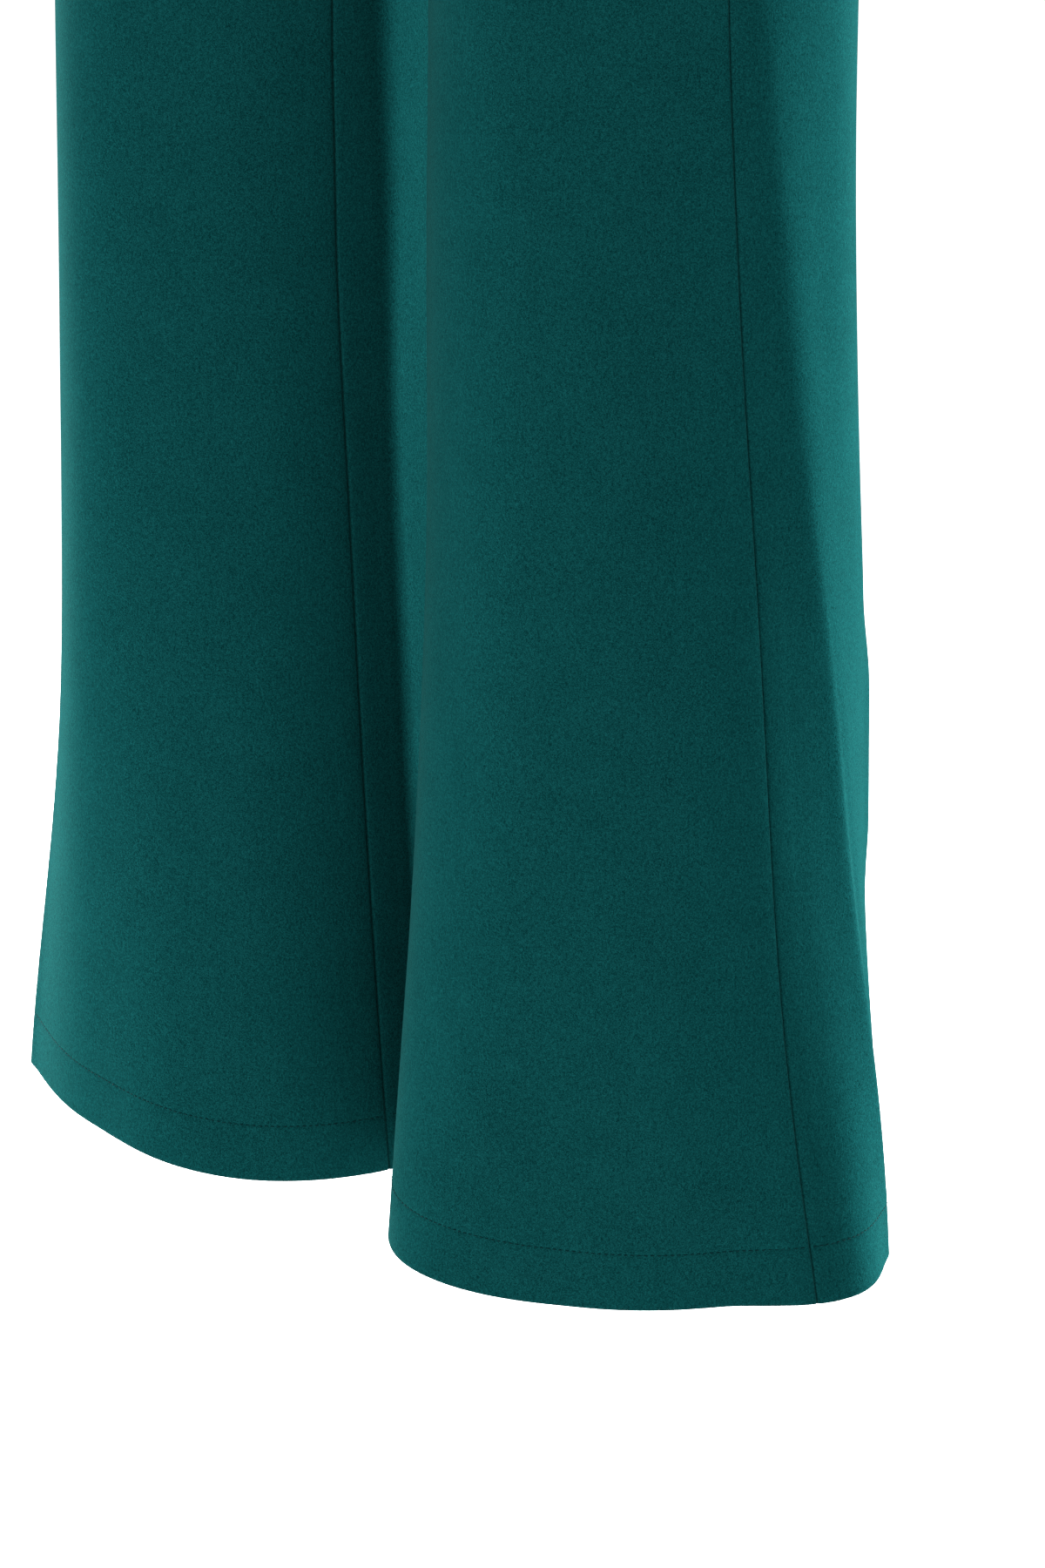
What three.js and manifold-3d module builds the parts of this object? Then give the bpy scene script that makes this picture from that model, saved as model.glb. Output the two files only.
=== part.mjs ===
// Flared trousers, in the shape they take when worn, with no wearer: two front panels, two back panels,
// a waistband in three pieces, and a concealed zip in the centre back seam.
// Millimetres, +Z up. The wearer faces -Y and the wearer's left is +X.
// The origin is the middle of the waist, where a wearer holds the trousers up.

import * as THREE from 'three';
import Module from 'manifold-3d';
import { mergeVertices } from 'three/addons/utils/BufferGeometryUtils.js';

const wasm = await Module();
wasm.setup();

// ---- Driving dimensions ----

const CLOTH = 1.5; // wall of a panel
const HEM_CLOTH = 2.6; // wall where the hem is turned up
const BAND_CLOTH = 2.2; // wall of the waistband
const SEAM_GAP = 0.3; // between two pieces at a seam
const EDGE = SEAM_GAP / 2;

const BAND_TOP = 20;
const BAND_BOTTOM = -20;
const FORK_Z = -165; // the centre seams start to curve under here
const CROTCH_Z = -265;
const LEG_START_Z = -60; // the legs' form starts to show under here
const LEG_FORM_Z = -400; // from here down each leg is a tube of its own form
const HEM_Z = -1040;
const HEM_DEPTH = 26;

const FRONT_COLUMNS = 18;
const BACK_COLUMNS = 20;
const BAND_COLUMNS = 16;
const TAPE_COLUMNS = 4;
const FORK_ROWS = 7;
const FORK_REACH = 0.15; // share of the way round that the crotch curve bends
const FORK_SOFTEN = 0.08; // share of the way round where its bend is wholly softened
const LEG_ROW_STEP = 60;
const BODY_ROWS = [-45, -75, -105, -135];
const THIGH_ROWS = [-275, -290, -312, -340, -370];
const LEG_GIRTH = 640; // near enough for the width of a seam gap
const HEM_STEP = 1; // height over which the turned-up hem starts
const FOLD_FADE = 120; // height over which a fold grows

const ZIP = {
  top: 13,
  bottom: -160,
  tapeWidth: 11.5,
  tapeWall: 0.8,
  tapeInset: 0.35, // from the edge of the cloth to the edge of the tape
  rowStep: 20,
  partedHalf: 1.7, // half the opening beside the slider
  partedFrom: 1,
  partedTo: 7,
};
const SLIDER = {
  z: 11, // height of the pull's pivot
  standOff: 3.2, // pivot to the outside of the cloth
  ringOuter: 1.9,
  ringHole: 1.0,
  neckHalf: 1.2,
  bodyHalf: 3.5,
  bodyHeight: 9,
  bodyDepth: 3,
};
const PULL = {
  wall: 1.2,
  length: 19,
  eyeHalf: 1.65,
  eyeLength: 2.0,
  shoulderHalf: 3.0,
  waistHalf: 2.0,
  waistDrop: 6.5,
  endRadius: 3.4,
};

const COLOURS = { cloth: '#06504c', tape: '#0a4a47', metal: '#23504c' };

// ---- Tables ----

const table = (columns, rows) =>
  rows.map((row) => Object.fromEntries(columns.map((name, i) => [name, row[i]])));

// The body form from the waist down to where the legs take over: its half width and depths, and how
// square its front and back are, from 1 for an oval towards 0 for a box.
const BODY = table(['z', 'side', 'front', 'back', 'frontOval', 'backOval'], [
  [20, 129, 92, 88, 1, 1],
  [-20, 132, 95, 90, 1, 1],
  [-100, 158, 99, 103, 0.8, 0.65],
  [-190, 179, 98, 112, 0.45, 0.32],
  [-265, 190, 99, 112, 0.4, 0.3],
  [-400, 201, 100, 105, 0.4, 0.3],
]);

// Each leg's centre, and its reach in eight directions going round from the front to the outside.
const REACHES = ['front', 'frontOuter', 'outer', 'backOuter', 'back', 'backInner', 'inner', 'frontInner'];
const LEG_COLUMNS = ['z', 'x', 'y', ...REACHES];
const LEGS = {
  left: table(LEG_COLUMNS, [
    [-165, 90, -3, 107, 105, 84, 110, 126, 104, 90, 100],
    [-265, 98, -4, 110, 107, 92, 112, 122, 108, 98, 104],
    [-400, 108, 3, 110, 107, 95, 86, 91, 94, 98, 104],
    [-560, 118, -1, 109, 102, 91, 81, 95, 103, 108, 109],
    [-720, 129, -6, 108, 98, 86, 84, 99, 115, 118, 114],
    [-880, 141, -11, 104, 87, 82, 80.5, 102, 129, 131, 127],
    [-1040, 156, -16, 92, 70, 88, 80, 118, 143, 143, 146],
  ]),
  right: table(LEG_COLUMNS, [
    [-165, 90, -3, 107, 105, 84, 110, 126, 104, 90, 100],
    [-265, 98, -4, 110, 107, 92, 112, 122, 108, 98, 104],
    [-400, 108, -3, 103, 105, 99, 98, 100, 93, 88, 96],
    [-560, 118, 1, 109, 103, 93, 93, 97, 95, 96, 106],
    [-720, 129, 5, 113, 98, 89, 88, 94, 99, 108, 120],
    [-880, 141, 11, 114, 96, 89, 83, 89, 103, 125, 135],
    [-1040, 156, 17, 115, 103, 93, 78, 84, 108, 147, 157],
  ]),
};

// Where the seams run, in degrees round the leg from its front: the side seam outwards, the inside
// seam inwards. Above the crotch the inside edge is the centre seam.
const SEAMS = table(['z', 'side', 'inside'], [
  [20, 86, 90],
  [-190, 80, 90],
  [-265, 72, 90],
  [-330, 61, 70],
  [-400, 54, 57],
  [-560, 56, 56],
  [-720, 61, 60],
  [-880, 67, 63],
  [-1040, 76, 66],
]);

// Soft folds that run down a leg: where each lies at its top and foot in degrees round the leg from
// the front to the outside, how far it bends on the way, how far it stands out, and how wide it is.
const FOLD_COLUMNS = ['top', 'foot', 'bend', 'fromZ', 'toZ', 'topRise', 'footRise', 'spread'];
const FOLDS = {
  left: table(FOLD_COLUMNS, [
    [54, 122, 30, -330, -1040, 5, 5, 12],
    [-74, -84, 0, -330, -1040, 5, 5, 12],
    [196, 205, 0, -480, -1040, 0, 7, 20],
  ]),
  right: table(FOLD_COLUMNS, [
    [-67, -74, 0, -330, -1040, 6, 4, 11],
    [54, 60, 0, -640, -1040, 0, 12, 14],
    [88, 92, 0, -560, -1040, 0, 6, 14],
    [165, 150, 0, -480, -1040, 0, 7, 20],
  ]),
};

// ---- Form of the cloth ----

const radians = (degrees) => (degrees * Math.PI) / 180;
const mix = (a, b, t) => a + (b - a) * t;
const clamp01 = (t) => Math.min(Math.max(t, 0), 1);
const smooth = (t) => clamp01(t) ** 2 * (3 - 2 * clamp01(t));

// A smooth curve from p1 to p2, led by the points before and after them.
function curve(p0, p1, p2, p3, t) {
  const a = p2 - p0;
  const b = 2 * p0 - 5 * p1 + 4 * p2 - p3;
  const c = 3 * p1 - p0 - 3 * p2 + p3;
  return p1 + 0.5 * t * (a + t * (b + t * c));
}

// A column of a table at height z, on a smooth curve through its rows.
function lookUp(rows, name, z) {
  const last = rows.length - 1;
  let i = 0;
  while (i < last - 1 && z < rows[i + 1].z) i += 1;
  const slope = (k) => {
    const above = rows[Math.max(k - 1, 0)];
    const below = rows[Math.min(k + 1, last)];
    return (below[name] - above[name]) / (below.z - above.z);
  };
  const span = rows[i + 1].z - rows[i].z;
  const t = clamp01((z - rows[i].z) / span);
  const rise = rows[i + 1][name] - rows[i][name];
  const [s0, s1] = [slope(i) * span, slope(i + 1) * span];
  return rows[i][name] + t * (s0 + t * (3 * rise - 2 * s0 - s1 + t * (s0 + s1 - 2 * rise)));
}

// How far a leg's folds stand out at height z, at an angle round the leg.
function foldRise(leg, z, degrees, reach) {
  let rise = 0;
  for (const fold of FOLDS[leg]) {
    const down = clamp01((fold.fromZ - z) / (fold.fromZ - fold.toZ));
    const middle = mix(fold.top, fold.foot, down) - fold.bend * down * (1 - down);
    const turn = ((((degrees - middle + 180) % 360) + 360) % 360) - 180;
    const away = (radians(turn) * reach) / fold.spread;
    const fadeIn = smooth((fold.fromZ + FOLD_FADE / 2 - z) / FOLD_FADE);
    rise += (mix(fold.topRise, fold.footRise, smooth(down)) * fadeIn) / Math.cosh(away);
  }
  return rise;
}

// A leg's own tube: share 0 is the middle of its inside, and it goes round by the front.
function legPoint(leg, z, share) {
  const rows = LEGS[leg];
  const degrees = share * 360 - 90;
  const step = (degrees + 360) / 45;
  const i = Math.floor(step);
  const reachAt = (k) => lookUp(rows, REACHES[(i + k) % REACHES.length], z);
  const reach = curve(reachAt(7), reachAt(0), reachAt(1), reachAt(2), step - i);
  const out = reach + foldRise(leg, z, degrees, reach);
  const angle = radians(degrees);
  return [lookUp(rows, 'x', z) + out * Math.sin(angle), lookUp(rows, 'y', z) - out * Math.cos(angle)];
}

// Half of the body form: share 0 is the centre front and share 1 the centre back.
function bodyPoint(z, share) {
  const angle = Math.PI * share;
  const face = share < 0.5 ? 'front' : 'back';
  const forward = Math.abs(Math.cos(angle)) ** lookUp(BODY, `${face}Oval`, z);
  const way = face === 'front' ? -1 : 1;
  return [lookUp(BODY, 'side', z) * Math.sin(angle), way * lookUp(BODY, face, z) * forward];
}

// How far the two legs have parted at height z, from 0 in the body to 1 in the legs, at a share of
// the way round from a centre seam. The seam itself curves under as a quarter of an oval.
function parting(z, away) {
  const under = (Math.max(FORK_Z - z, 0) / (FORK_Z - CROTCH_Z)) ** 2 - 1;
  const joined = Math.sqrt((Math.hypot(under, away / FORK_SOFTEN) - under) / 2);
  return clamp01(1 - joined * (1 - smooth((CROTCH_Z - z) / (CROTCH_Z - LEG_FORM_Z))));
}

// A point of the cloth's outside at height z, a share of the way round one half of the trousers.
// It is worked out on the wearer's left.
function clothPoint(leg, z, share) {
  const round = z < CROTCH_Z ? share - Math.floor(share) : share;
  const [legX, legY] = legPoint(leg, z, round);
  const [bodyX, bodyY] = bodyPoint(Math.max(z, LEG_FORM_Z), round);
  const away = Math.min(round, 1 - round);
  const formed = smooth((LEG_START_Z - z) / (LEG_START_Z - LEG_FORM_Z));
  const t = mix(formed, parting(z, away), Math.exp(-((away / FORK_REACH) ** 2)));
  const leastX = z < BAND_BOTTOM ? EDGE : -Infinity;
  return new THREE.Vector3(Math.max(mix(bodyX, legX, t), leastX), mix(bodyY, legY, t), z);
}

// The way out of the cloth at a point, from its neighbours across and up or down.
function outward(leg, z, share) {
  const across = 0.003;
  const split = z < BAND_BOTTOM && z >= CROTCH_Z;
  const before = clothPoint(leg, z, split ? Math.max(share - across, 0) : share - across);
  const after = clothPoint(leg, z, split ? Math.min(share + across, 1) : share + across);
  const up = z > CROTCH_Z ? 1 : 0;
  const down = z > CROTCH_Z ? Math.min(1, (z - CROTCH_Z) / 2) : 1;
  const above = clothPoint(leg, z + up, share);
  const below = clothPoint(leg, z - down, share);
  return after.sub(before).cross(above.sub(below)).normalize();
}

// ---- Closed walls of cloth ----

// A wall over a grid of points: rows go down, columns go round, and faces(z) gives how deep its
// outside and its inside lie under the cloth's outside. The right half is a mirror of the left.
function wallGeometry(leg, heights, columns, shareAt, faces) {
  const flip = leg === 'right' ? -1 : 1;
  const positions = [];
  for (const z of heights) {
    for (let c = 0; c <= columns; c += 1) {
      const share = shareAt(z, c / columns);
      const point = clothPoint(leg, z, share);
      const out = outward(leg, z, share);
      for (const depth of faces(z)) {
        const p = point.clone().addScaledVector(out, -depth);
        positions.push(flip * p.x, p.y, p.z);
      }
    }
  }
  const index = [];
  const quad = (a, b, c, d) => index.push(...(flip > 0 ? [a, b, c, a, c, d] : [a, c, b, a, d, c]));
  const outer = (r, c) => 2 * (r * (columns + 1) + c);
  const inner = (r, c) => outer(r, c) + 1;
  const last = heights.length - 1;
  for (let c = 0; c < columns; c += 1) {
    for (let r = 0; r < last; r += 1) {
      quad(outer(r, c), outer(r + 1, c), outer(r + 1, c + 1), outer(r, c + 1));
      quad(inner(r, c), inner(r, c + 1), inner(r + 1, c + 1), inner(r + 1, c));
    }
    quad(outer(0, c), outer(0, c + 1), inner(0, c + 1), inner(0, c));
    quad(outer(last, c), inner(last, c), inner(last, c + 1), outer(last, c + 1));
  }
  for (let r = 0; r < last; r += 1) {
    quad(outer(r, 0), inner(r, 0), inner(r + 1, 0), outer(r + 1, 0));
    quad(outer(r, columns), outer(r + 1, columns), inner(r + 1, columns), inner(r, columns));
  }
  const geometry = new THREE.BufferGeometry();
  geometry.setAttribute('position', new THREE.Float32BufferAttribute(positions, 3));
  geometry.setIndex(index);
  geometry.computeVertexNormals();
  return geometry;
}

// ---- Where the pieces lie ----

const sideSpan = (z) => Math.PI * lookUp(BODY, 'side', Math.max(z, LEG_FORM_Z));
const edgeShare = (z) => EDGE / (z > CROTCH_Z ? sideSpan(z) : LEG_GIRTH);
const sideShare = (z) => (90 + lookUp(SEAMS, 'side', z)) / 360;
const insideShare = (z) => (z > CROTCH_Z ? 0 : (90 - lookUp(SEAMS, 'inside', z)) / 360);
const between = (start, end) => (z, t) => mix(start(z), end(z), t);

const frontShare = between(
  (z) => insideShare(z) + edgeShare(z),
  (z) => sideShare(z) - edgeShare(z),
);
const backShare = between(
  (z) => sideShare(z) + edgeShare(z),
  (z) => 1 + insideShare(z) - edgeShare(z),
);

function panelHeights() {
  const heights = [BAND_BOTTOM - SEAM_GAP, ...BODY_ROWS];
  for (let k = 0; k <= FORK_ROWS; k += 1) {
    heights.push(FORK_Z - (FORK_Z - CROTCH_Z) * Math.sin((k / FORK_ROWS) * (Math.PI / 2)));
  }
  heights.push(...THIGH_ROWS);
  const hemTop = HEM_Z + HEM_DEPTH;
  for (let z = LEG_FORM_Z; z > hemTop; z -= LEG_ROW_STEP) heights.push(z);
  heights.push(hemTop, hemTop - HEM_STEP, HEM_Z);
  return heights;
}

const panelFaces = (z) => [0, z < HEM_Z + HEM_DEPTH - HEM_STEP / 2 ? HEM_CLOTH : CLOTH];
const bandFaces = () => [0, BAND_CLOTH];
const tapeFaces = () => [BAND_CLOTH + SEAM_GAP, BAND_CLOTH + SEAM_GAP + ZIP.tapeWall];

// Half the opening of the zip: closed but for the top, where the slider parts it.
const partedShare = (z) => smooth((z - ZIP.partedFrom) / (ZIP.partedTo - ZIP.partedFrom));
const parted = (z) => mix(EDGE, ZIP.partedHalf, partedShare(z));
const partedMiddle = (ZIP.partedTo + ZIP.partedFrom) / 2;
const bandHeights = [BAND_TOP, ZIP.partedTo, partedMiddle, ZIP.partedFrom, BAND_BOTTOM];
const bandFrontShare = between(
  (z) => edgeShare(z) - sideShare(z),
  (z) => sideShare(z) - edgeShare(z),
);
const bandBackShare = between(
  (z) => sideShare(z) + edgeShare(z),
  (z) => 1 - parted(z) / sideSpan(z),
);
const tapeShare = between(
  (z) => 1 - (parted(z) + ZIP.tapeInset + ZIP.tapeWidth) / sideSpan(z),
  (z) => 1 - (parted(z) + ZIP.tapeInset) / sideSpan(z),
);

function tapeHeights() {
  const heights = [ZIP.top];
  for (const z of bandHeights) if (z < ZIP.top) heights.push(z);
  for (let z = BAND_BOTTOM - ZIP.rowStep; z > ZIP.bottom; z -= ZIP.rowStep) heights.push(z);
  heights.push(ZIP.bottom);
  return heights;
}

// ---- Zip slider and pull ----

const pivotY = lookUp(BODY, 'back', SLIDER.z) + SLIDER.standOff;

function toManifold(geometry) {
  const bare = geometry.clone();
  bare.deleteAttribute('normal');
  bare.deleteAttribute('uv');
  const merged = mergeVertices(bare, 1e-4);
  return new wasm.Manifold(
    new wasm.Mesh({
      numProp: 3,
      vertProperties: new Float32Array(merged.attributes.position.array),
      triVerts: new Uint32Array(merged.index.array),
    }),
  );
}

function toGeometry(manifold) {
  const mesh = manifold.getMesh();
  const geometry = new THREE.BufferGeometry();
  geometry.setAttribute('position', new THREE.BufferAttribute(mesh.vertProperties, 3));
  geometry.setIndex(new THREE.BufferAttribute(mesh.triVerts, 1));
  geometry.computeVertexNormals();
  return geometry;
}

// A flat shape, drawn with its own y up, extruded evenly about its plane.
function extruded(shape, thickness) {
  const geometry = new THREE.ExtrudeGeometry(shape, {
    depth: thickness,
    bevelEnabled: false,
    curveSegments: 8,
  });
  return geometry.translate(0, 0, -thickness / 2);
}

// The slider: a block behind the tapes, a neck through the opening, and a ring that holds the pull.
// Its origin is the middle of the ring, with the cloth on its -Y side.
function sliderGeometry() {
  const clothDepth = BAND_CLOTH + SEAM_GAP + ZIP.tapeWall + SEAM_GAP;
  const bodyFace = -(SLIDER.standOff + clothDepth);
  const block = new THREE.BoxGeometry(2 * SLIDER.bodyHalf, SLIDER.bodyDepth, SLIDER.bodyHeight);
  block.translate(0, bodyFace - SLIDER.bodyDepth / 2, 0);
  const profile = new THREE.Shape();
  const neckHalf = SLIDER.ringOuter * Math.sin(Math.PI / 4);
  profile.moveTo(bodyFace - SLIDER.bodyDepth / 2, -neckHalf);
  profile.absarc(0, 0, SLIDER.ringOuter, (-3 * Math.PI) / 4, (3 * Math.PI) / 4, false);
  profile.lineTo(bodyFace - SLIDER.bodyDepth / 2, neckHalf);
  profile.closePath();
  const hole = new THREE.Path();
  hole.absarc(0, 0, SLIDER.ringHole, 0, 2 * Math.PI, true);
  profile.holes.push(hole);
  const neck = extruded(profile, 2 * SLIDER.neckHalf);
  neck.applyMatrix4(new THREE.Matrix4().set(0, 0, 1, 0, 1, 0, 0, 0, 0, 1, 0, 0, 0, 0, 0, 1));
  return toGeometry(toManifold(block).add(toManifold(neck)));
}

// The pull: a drop with an eye round the slider's ring. Its origin is the middle of the bar at the
// top of its eye, and it hangs down.
function pullGeometry() {
  const barHalf = PULL.wall / 2;
  const shoulderDrop = barHalf + PULL.eyeLength + barHalf;
  const endZ = -(PULL.length - barHalf - PULL.endRadius);
  const shape = new THREE.Shape();
  shape.moveTo(-PULL.shoulderHalf, barHalf);
  shape.lineTo(-PULL.shoulderHalf, -shoulderDrop);
  shape.quadraticCurveTo(-PULL.waistHalf, -shoulderDrop - 1, -PULL.waistHalf, -PULL.waistDrop);
  shape.quadraticCurveTo(-PULL.endRadius, (endZ - PULL.waistDrop) / 2, -PULL.endRadius, endZ);
  shape.absarc(0, endZ, PULL.endRadius, Math.PI, 2 * Math.PI, false);
  shape.quadraticCurveTo(PULL.endRadius, (endZ - PULL.waistDrop) / 2, PULL.waistHalf, -PULL.waistDrop);
  shape.quadraticCurveTo(PULL.waistHalf, -shoulderDrop - 1, PULL.shoulderHalf, -shoulderDrop);
  shape.lineTo(PULL.shoulderHalf, barHalf);
  shape.closePath();
  const eye = new THREE.Path();
  eye.moveTo(-PULL.eyeHalf, -barHalf);
  eye.lineTo(PULL.eyeHalf, -barHalf);
  eye.lineTo(PULL.eyeHalf, -barHalf - PULL.eyeLength);
  eye.lineTo(-PULL.eyeHalf, -barHalf - PULL.eyeLength);
  eye.closePath();
  shape.holes.push(eye);
  return extruded(shape, PULL.wall).rotateX(Math.PI / 2);
}

// ---- The trousers ----

const material = (color, roughness, metalness) =>
  new THREE.MeshStandardMaterial({ color, roughness, metalness });

function piece(name, geometry, look) {
  const mesh = new THREE.Mesh(geometry, look);
  mesh.name = name;
  return mesh;
}

const trousers = new THREE.Group();
const cloth = () => material(COLOURS.cloth, 0.85, 0);
const tape = () => material(COLOURS.tape, 0.9, 0);
const metal = () => material(COLOURS.metal, 0.4, 0.6);

for (const leg of ['left', 'right']) {
  const wall = (heights, columns, share, faces) => wallGeometry(leg, heights, columns, share, faces);
  const front = wall(panelHeights(), FRONT_COLUMNS, frontShare, panelFaces);
  const back = wall(panelHeights(), BACK_COLUMNS, backShare, panelFaces);
  const band = wall(bandHeights, BAND_COLUMNS, bandBackShare, bandFaces);
  const zipTape = wall(tapeHeights(), TAPE_COLUMNS, tapeShare, tapeFaces);
  trousers.add(piece(`front_${leg}`, front, cloth()));
  trousers.add(piece(`back_${leg}`, back, cloth()));
  trousers.add(piece(`waistband_back_${leg}`, band, cloth()));
  trousers.add(piece(`zip_tape_${leg}`, zipTape, tape()));
}
const bandFront = wallGeometry('left', bandHeights, 2 * BAND_COLUMNS, bandFrontShare, bandFaces);
trousers.add(piece('waistband_front', bandFront, cloth()));

for (const [name, geometry] of [['zip_slider', sliderGeometry()], ['zip_pull', pullGeometry()]]) {
  const mesh = piece(name, geometry, metal());
  mesh.position.set(0, pivotY, SLIDER.z);
  trousers.add(mesh);
}

export default trousers;
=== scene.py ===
"""Flared trousers in the shape they take when worn: the looks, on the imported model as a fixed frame.

Metres, +Z up. The wearer faces -Y and the wearer's left is +X. The origin is the middle of the waist.
The cloth's form is worked out in millimetres from the solids' sizes and tables, with finer folds
and with creases of its own. Each piece is turned into metres when its mesh is made.
"""

import math

import bpy
import numpy as np
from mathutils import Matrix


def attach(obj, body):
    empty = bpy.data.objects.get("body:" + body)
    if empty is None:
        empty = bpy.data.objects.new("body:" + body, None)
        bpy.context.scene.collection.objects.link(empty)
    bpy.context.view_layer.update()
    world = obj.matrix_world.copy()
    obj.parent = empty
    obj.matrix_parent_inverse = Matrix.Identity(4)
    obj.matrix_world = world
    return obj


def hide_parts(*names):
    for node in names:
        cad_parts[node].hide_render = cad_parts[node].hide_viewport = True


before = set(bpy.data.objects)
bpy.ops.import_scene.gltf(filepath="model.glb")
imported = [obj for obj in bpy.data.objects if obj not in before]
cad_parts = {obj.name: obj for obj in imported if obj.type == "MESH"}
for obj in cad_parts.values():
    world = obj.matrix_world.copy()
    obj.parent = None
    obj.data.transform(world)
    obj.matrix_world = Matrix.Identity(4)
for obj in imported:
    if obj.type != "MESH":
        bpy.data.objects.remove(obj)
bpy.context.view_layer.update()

MM = 0.001

# ---- Camera ----

CAMERA_TARGET = (0.018, 0.015, -0.855)
CAMERA_AZIMUTH = 40.0
CAMERA_ELEVATION = 21.0
CAMERA_DISTANCE = 3.5
CAMERA_LENS = 171.5
CAMERA_SENSOR = 36.0


def aim(obj, place, target):
    """Puts obj at place, looking at target."""
    obj.location = place
    way = np.array(target) - np.array(place)
    level = math.hypot(way[0], way[1])
    obj.rotation_euler = (math.atan2(level, -way[2]), 0.0, math.atan2(-way[0], way[1]))


def direction(azimuth, elevation):
    """The unit vector toward that azimuth and elevation, in degrees. Azimuth 0 is the front."""
    a, e = math.radians(azimuth), math.radians(elevation)
    return (math.sin(a) * math.cos(e), -math.cos(a) * math.cos(e), math.sin(e))


def around(target, azimuth, elevation, distance):
    """The place that is distance away from target, in that direction."""
    return tuple(t + distance * w for t, w in zip(target, direction(azimuth, elevation)))


def make_camera():
    camera = bpy.data.objects.new("camera", bpy.data.cameras.new("camera"))
    bpy.context.scene.collection.objects.link(camera)
    camera.data.sensor_width = CAMERA_SENSOR
    camera.data.lens = CAMERA_LENS
    camera.data.clip_end = 50.0
    place = around(CAMERA_TARGET, CAMERA_AZIMUTH, CAMERA_ELEVATION, CAMERA_DISTANCE)
    aim(camera, place, CAMERA_TARGET)
    bpy.context.scene.camera = camera


make_camera()

# ---- Driving sizes of the cloth, in millimetres ----

BAND_TOP = 20.0
BAND_BOTTOM = -20.0
FORK_Z = -165.0  # where the legs start to part
CROTCH_Z = -265.0
LEG_START_Z = -60.0  # where the body starts to turn into the legs
LEG_FORM_Z = -400.0  # where the legs have their own form
HEM_Z = -1040.0
FORK_REACH = 0.15  # share of the way round over which the legs' parting fades out
FORK_SOFTEN = 0.08
FOLD_FADE = 120.0  # height over which a fold begins
SOFT_CREST = 1.2  # how round a fold's crest is at its top, as a share of the fold's width
SHARPENS_FROM = 0.16  # share of the way down a fold where its crest starts to change
SHARPENS_OVER = 0.45
CREASE_REACH = 100.0  # a leg's usual reach, which turns a crease's degrees into millimetres
CREASE_FADE = 0.3  # share of a crease's length over which it begins and ends
WAVE_FADE = 60.0  # height under the waistband over which the slow waves begin

CLOTH = 0.6  # one thickness of the crepe
SEAM_GAP = 0.04  # between two pieces at a seam
EDGE = SEAM_GAP / 2  # from a seam to the edge of each piece
SEAM_DIP = (2.4, 0.35)  # width and depth of the soft dip along a panel's seam
SEAM_FOLD = (0.95, 0.9)  # width and depth of the edge that turns under into the seam
TURNED_CLOTH = 0.3  # thickness of a panel's edge where it turns under
TURNED_FOOT = 1.3  # greatest depth of its wrong side there
WAIST_TUCK = 0.8  # how far a panel's top reaches up between the waistband's layers
ALLOWANCE = 12.0  # width of a pressed-open seam allowance
ALLOWANCE_TOP = 0.75  # depth of its face next to the panel
ALLOWANCE_UNDER = 0.05  # how far it lies under the right side of the panel's turned edge
ALLOWANCE_FADE = 3.0  # width over which its raw edge fades out
ALLOWANCE_START = 1.0  # below the waist seam
PRESSED = 0.16  # how far an allowance shows through as a low ridge
PRESSED_FROM = 5.0  # width over which that ridge rises beside the seam
CALM_SHARE = 0.35  # of the creases' height that is left along a seam
CALM_WIDTH = 30.0  # from a seam or the waist to where the creases are at their full height
HEM_RADIUS = 1.0  # of the fold at the hem
HEM_DEPTH = 30.0  # height of the turned-up hem
HEM_LIES_OVER = 0.75  # depth of the turned-up cloth's near face, away from the seams
HEM_SETTLES = 8.0  # height over which the turned-up cloth comes to lie that near
HEM_STITCH = 28.0  # height of the hem's stitching over the fold
STITCH_PITCH = 3.0
STITCH_LENGTH = 1.9
STITCH_WIDTH = 0.42
STITCH_SUNK = 0.3  # share of a stitch's width that lies in the cloth
STITCH_FREE = 2.0  # least distance from a stitch to a seam
STITCH_GROOVE = 0.16  # depth of the groove that the stitches pull in
GROOVE_WIDTH = 0.8
GROOVE_INSIDE = -0.5  # the groove on the turned-up cloth, as a share of the one outside
BAND_CLOTH = 2.2  # thickness of the double waistband
BAND_ROUND = 1.05  # radius of its rounded edges

ROW_STEP = 4.0
FORK_ROWS = 34
THIGH_STEPS = (0.5, 1.5, 3.0, 5.5)  # rows just under the crotch
STITCH_ROWS = np.array((2.0, 1.2, 0.7, 0.35, 0.0, -0.35, -0.7, -1.2, -2.0))
STITCH_REACH = 3.0  # above the stitching, where the even rows end
HEM_ROWS = HEM_Z + np.array((19.0, 15.0, 11.0, 7.5, 4.5, 2.5, 1.6))
FOLD_TURNS = np.radians(np.arange(0, 181, 15))
MIDDLE_COLUMNS = {"front": 70, "back": 84}
EDGE_STEPS = (0.0, 0.2, 0.5, 0.9, 1.5, 2.4, 4.0, 6.5, 9.5, 11.5, 12.8, 14.5)
ALLOWANCE_STEPS = (0.0, 0.5, 1.2, 2.5, 5.0, 7.5, 10.0, 11.5, ALLOWANCE)
CREST_STEPS = (-4.0, -2.6, -1.5, -0.7, 0.0, 0.7, 1.5, 2.6, 4.0)
CREST_ROOM = 0.8  # between a crest's columns and a panel's edge columns
SHARP_CREST = 0.4  # a fold with a rounder crest than this has no columns of its own


def table(columns, rows):
    return {name: np.array([row[i] for row in rows], float) for i, name in enumerate(columns)}


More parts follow.
